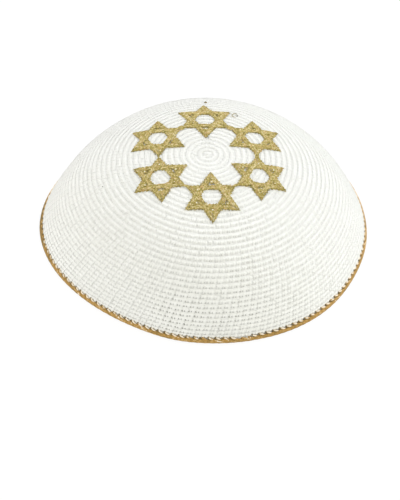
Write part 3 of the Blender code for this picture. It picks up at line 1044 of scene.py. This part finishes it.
EDGE_PAINTED_LIGHT = (
    # direction in degrees, how much brighter the yarn is painted there, as painted light and shade round the
    # rim
    (-200.0, 0.25),
    (-188.0, 0.20),
    (-183.0, -0.20),
    (-176.0, -0.40),
    (-165.0, -0.30),
    (-150.0, 0.00),
    (-5.0, 0.00),
    (2.0, -0.15),
    (8.0, 0.10),
    (20.0, 0.25),
    (90.0, 0.25),
)
JOIN = -74.6                 # direction in degrees where the edging's two ends meet and a stitch is missing
JOIN_REACH = 2.0             # degrees
OUTSIDE_ENDS = 1.0           # mm in from the outer face, up to which a stroke is part of the outside
OUTSIDE_BLEND = 1.2          # mm
CARAMEL_PER_METRE = 800.0    # patches of wear about 1.3 mm across
CARAMEL_TWIST = 0.0016       # length of one turn of the plies
CARAMEL_GRAIN = 0.00005


def rim_wall(turn, height, depth):
    """Points of the rim at that height, depth metres in from the crown's outer face."""
    down, _, outward = face_axes(1.0, turn)
    start = face(1.0, turn) - np.asarray(depth, float)[..., None] * outward
    return start + down * ((height - start[..., 2]) / down[..., 2])[..., None]


def caramel_yarn():
    """Gold-brown rayon yarn with a soft gloss, two plies."""
    made, tree, shader, place = new_material("gold-brown overcast yarn")
    patchy = {"Vector": place, "Scale": CARAMEL_PER_METRE, "Detail": 3.0, "Roughness": 0.7}
    patches = add(tree, "ShaderNodeTexNoise", patchy)
    # The tint read here as worn carries painted light and shade: the dark hole at each stroke's start, the
    # darker underside, the highlight streaks and the light round the rim, besides the yarn's own unevenness.
    worn = add(tree, "ShaderNodeAttribute", attribute_name="tint").outputs["Fac"]
    bright = {0: worn, 1: 0.7, 2: patches.outputs["Fac"]}
    mixed = add(tree, "ShaderNodeMath", bright, operation="MULTIPLY_ADD")
    shade = ramp(
        tree,
        mixed.outputs[0],
        (0.15, "#6A6148"),
        (0.5, "#88713E"),
        (0.8, "#BA914B"),
        (0.93, "#CFAA6A"),
        (1.0, "#FAEDD8"),
    )
    tree.links.new(shade, shader.inputs["Base Color"])
    shader.inputs["Roughness"].default_value = 0.6
    shader.inputs["Specular IOR Level"].default_value = 0.3
    twisted = {"Height": twist_height(tree, 2, CARAMEL_TWIST), "Distance": CARAMEL_GRAIN}
    plies = add(tree, "ShaderNodeBump", twisted)
    tree.links.new(plies.outputs[0], shader.inputs["Normal"])
    return made


edge_yarn = caramel_yarn()
edge_chance = np.random.default_rng(11)
edge_lines, edge_tints = [], []
for stitch in range(EDGE_STITCHES):
    for path, offset in ((STROKE, 0.0), (HIGHLIGHT_STROKE, 0.0), (FILLING, 0.5)):
        path = np.array(path)
        start = stitch + EDGE_START + offset
        at_join = abs(math.degrees(2 * math.pi * (start + 1) / EDGE_STITCHES) - JOIN - 360) < JOIN_REACH
        if at_join and offset == 0.0:
            continue
        along = start + path[:, 0] + edge_chance.normal(0.0, EDGE_STRAY)
        height = path[:, 1] * (1.0 + edge_chance.normal(0.0, EDGE_UNEVEN) * (path[:, 1] > EDGE_UPPER))
        turn = 2 * math.pi * along / EDGE_STITCHES
        outside = np.clip((OUTSIDE_ENDS - path[:, 2]) / OUTSIDE_BLEND, 0.0, 1.0)
        depth = path[:, 2] - outside * np.interp(np.degrees(turn), *np.array(EDGE_REACH).T, period=360.0)
        edge_lines.append((rim_wall(turn, height / 1000, depth / 1000), path[:, 3] / 1000, False))
        # Painted light and shade round the rim, by direction.
        rim_painted_light = np.interp(np.degrees(turn), *np.array(EDGE_PAINTED_LIGHT).T, period=360.0)
        edge_tints.append(path[:, 4] + rim_painted_light + edge_chance.normal(0.0, EDGE_GLINT))
edge_guide = lines_guide("edging_guide", edge_lines, tint=np.concatenate(edge_tints))
edging = grown(edge_guide, lay_thread, "edging_overcast", Thread=edge_yarn, Sides=EDGE_SIDES)
fit_out(edging, "caramel_thread", "edging")

# Under the stitches the edge itself is filled by the yarn's own tail, worked in as a cord.
CORE_HEIGHT = 0.0010
CORE_DEPTH = 0.0011          # in from the outer face, of the middle of three strands
CORE_SPREAD = (-0.0010, 0.0, 0.0010)
CORE_RADIUS = 0.00065
core_turn = 2 * np.pi * np.arange(EDGE_STITCHES) / EDGE_STITCHES
core_height = np.full(EDGE_STITCHES, CORE_HEIGHT)
core_depths = [np.full(EDGE_STITCHES, CORE_DEPTH) + offset for offset in CORE_SPREAD]
core_lines = [(rim_wall(core_turn, core_height, depth), CORE_RADIUS, True) for depth in core_depths]
core_guide = lines_guide("core_guide", core_lines, tint=np.full(3 * EDGE_STITCHES, 0.25))
core = grown(core_guide, lay_thread, "edging_core", Thread=edge_yarn, Sides=EDGE_SIDES)
fit_out(core, "caramel_thread", "edging")


# The studio
# A plain white floor, soft light from the right and behind and from low on both sides, and a camera at the
# picture's angle above the floor.
CAMERA_PITCH = 47.5          # degrees down
CAMERA_ROLL = 3.3            # degrees
CAMERA_DISTANCE = 0.562
LOOKED_AT = (-0.0013, -0.0009, -0.0226)
FOCAL_PIXELS = 1110.0
PICTURE_HEIGHT = 500.0
SENSOR = 36.0
PAPER_PER_METRE = 900.0      # grain about 1.1 mm across
FLOOR_HALF = 3.0
FLOOR_HEIGHT = -0.0001


def set_facing(thing, place, forward, right):
    """Puts a camera or a light at a place, looking forward, with its right side to the right."""
    axes = np.stack([right, np.cross(right, forward), -forward, place], axis=-1)
    thing.matrix_world = Matrix([*axes.tolist(), (0.0, 0.0, 0.0, 1.0)])


studio = bpy.context.scene
studio.view_settings.view_transform = "Standard"
studio.view_settings.look = "None"

pitch, roll = math.radians(CAMERA_PITCH), math.radians(CAMERA_ROLL)
forward = np.array([0.0, math.cos(pitch), -math.sin(pitch)])
level_up = np.cross([1.0, 0.0, 0.0], forward)
right = np.array([1.0, 0.0, 0.0]) * math.cos(roll) + level_up * math.sin(roll)
camera_data = bpy.data.cameras.new("camera")
camera_data.sensor_fit = "VERTICAL"
camera_data.sensor_height = SENSOR
camera_data.lens = FOCAL_PIXELS * SENSOR / PICTURE_HEIGHT
camera_data.clip_start, camera_data.clip_end = 0.01, 20.0
camera = bpy.data.objects.new("camera", camera_data)
studio.collection.objects.link(camera)
set_facing(camera, np.array(LOOKED_AT) - forward * CAMERA_DISTANCE, forward, right)
studio.camera = camera


def floor_material():
    """White paper, lit so brightly that it takes almost no shadow: its glow stands for that light."""
    made, tree, shader, place = new_material("white paper sweep")
    grain = add(tree, "ShaderNodeTexNoise", {"Vector": place, "Scale": PAPER_PER_METRE})
    greys = {0: grain.outputs["Fac"], 6: linear("#5C5C5C"), 7: linear("#626262")}
    shade = add(tree, "ShaderNodeMix", greys, data_type="RGBA")
    tree.links.new(shade.outputs[2], shader.inputs["Base Color"])
    shader.inputs["Roughness"].default_value = 1.0
    shader.inputs["Specular IOR Level"].default_value = 0.0
    shader.inputs["Emission Color"].default_value = linear("#FFFFFF")
    shader.inputs["Emission Strength"].default_value = 0.9
    return made


corners = ((-1, -1), (1, -1), (1, 1), (-1, 1))
floor_corners = [(x * FLOOR_HALF, y * FLOOR_HALF, FLOOR_HEIGHT) for x, y in corners]
floor = new_mesh("floor", floor_corners, [(0, 1, 2, 3)])
floor.data.materials.append(floor_material())

LIGHTS = (
    # name, place in metres, size in metres, watts, colour
    ("key_right_and_behind", (0.75, 0.65, 0.95), 0.9, 5.6, "#DAE2FF"),
    ("low_right", (1.20, 0.25, 0.55), 0.9, 3.3, "#FFFCEE"),
    ("low_left", (-1.20, 0.20, 0.55), 0.9, 3.5, "#F6F2FF"),
)
for name, place, size, watts, colour in LIGHTS:
    light_data = bpy.data.lights.new(name, "AREA")
    light_data.shape = "DISK"
    light_data.size, light_data.energy, light_data.color = size, watts, linear(colour)[:3]
    light = bpy.data.objects.new(name, light_data)
    studio.collection.objects.link(light)
    inward = unit(np.array((0.0, 0.0, 0.03)) - place)
    set_facing(light, place, inward, unit(np.cross(inward, [0.0, 0.0, 1.0])))

world = bpy.data.worlds.new("studio")
world.use_nodes = True
world.node_tree.nodes["Background"].inputs["Color"].default_value = linear("#FFFFFA")
world.node_tree.nodes["Background"].inputs["Strength"].default_value = 0.96
studio.world = world
